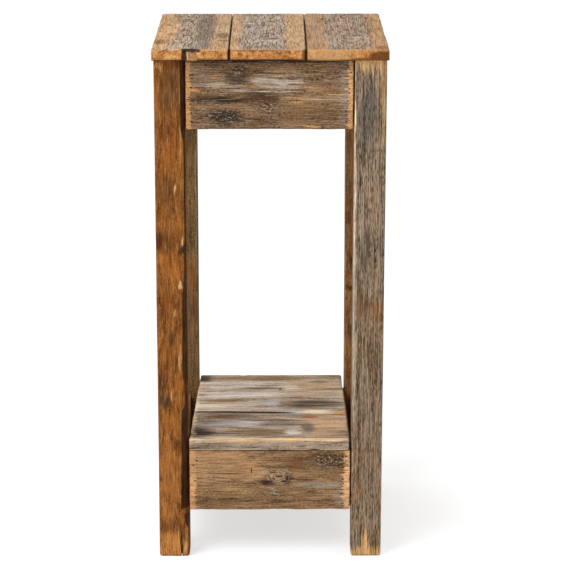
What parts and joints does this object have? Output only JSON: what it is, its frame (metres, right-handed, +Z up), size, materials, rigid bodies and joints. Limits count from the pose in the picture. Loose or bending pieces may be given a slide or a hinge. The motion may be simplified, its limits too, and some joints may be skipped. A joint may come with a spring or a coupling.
{
  "type": "rustic side table",
  "caption": "Narrow rustic side table of reclaimed boards: square legs, deep upper and lower aprons, a plank top and a low plank shelf.",
  "frame": {"origin": "on the floor, under the middle of the top", "axes": "+Z up from the feet to the top; the front with the tapered shelf board faces -Y; +X to the right seen from the front"},
  "size_m": [0.337, 0.368, 0.762],
  "materials": {
    "top_board_wood": "weathered softwood boards, grey down the middle and orange-brown at the edges, satin",
    "shelf_board_wood": "weathered grey-brown softwood, satin",
    "brown_leg_wood": "warm orange-brown softwood with a bark edge, satin",
    "grey_leg_wood": "weathered grey-brown softwood, matt",
    "apron_wood": "weathered brown softwood with pale streaks, satin",
    "hidden_wood": "plain sawn softwood, unfinished",
    "dark_nail_steel": "dark and rusty"
  },
  "bodies": {
    "root": {"front_left_leg": "brown_leg_wood", "front_right_leg": "grey_leg_wood", "lower_front_apron": "apron_wood", "lower_front_apron_nails": "dark_nail_steel", "lower_left_apron": "apron_wood", "lower_left_apron_nails": "dark_nail_steel", "lower_left_cleat_front": "hidden_wood", "lower_left_cleat_nails": "dark_nail_steel", "lower_left_cleat_rear": "hidden_wood", "lower_rear_apron": "apron_wood", "lower_rear_apron_nails": "dark_nail_steel", "lower_right_apron": "apron_wood", "lower_right_apron_nails": "dark_nail_steel", "lower_right_cleat_front": "hidden_wood", "lower_right_cleat_nails": "dark_nail_steel", "lower_right_cleat_rear": "hidden_wood", "rear_left_leg": "grey_leg_wood", "rear_right_leg": "grey_leg_wood", "shelf_bearer_left": "hidden_wood", "shelf_bearer_nails_left": "dark_nail_steel", "shelf_bearer_nails_right": "dark_nail_steel", "shelf_bearer_right": "hidden_wood", "shelf_board_front": "shelf_board_wood", "shelf_board_front_nails": "dark_nail_steel", "shelf_board_rear": "shelf_board_wood", "shelf_board_rear_nails": "dark_nail_steel", "top_board_left": "top_board_wood", "top_board_left_nails": "dark_nail_steel", "top_board_middle": "top_board_wood", "top_board_middle_nails": "dark_nail_steel", "top_board_right": "top_board_wood", "top_board_right_nails": "dark_nail_steel", "upper_cross_cleat_nails_left": "dark_nail_steel", "upper_cross_cleat_nails_right": "dark_nail_steel", "upper_front_apron": "apron_wood", "upper_front_apron_nails": "dark_nail_steel", "upper_front_cleat_left": "hidden_wood", "upper_front_cleat_right": "hidden_wood", "upper_left_apron": "apron_wood", "upper_left_apron_nails": "dark_nail_steel", "upper_left_cleat_front": "hidden_wood", "upper_left_cleat_nails": "dark_nail_steel", "upper_left_cleat_rear": "hidden_wood", "upper_rear_apron": "apron_wood", "upper_rear_apron_nails": "dark_nail_steel", "upper_rear_cleat_left": "hidden_wood", "upper_rear_cleat_right": "hidden_wood", "upper_right_apron": "apron_wood", "upper_right_apron_nails": "dark_nail_steel", "upper_right_cleat_front": "hidden_wood", "upper_right_cleat_nails": "dark_nail_steel", "upper_right_cleat_rear": "hidden_wood"}
  },
  "joints": []
}
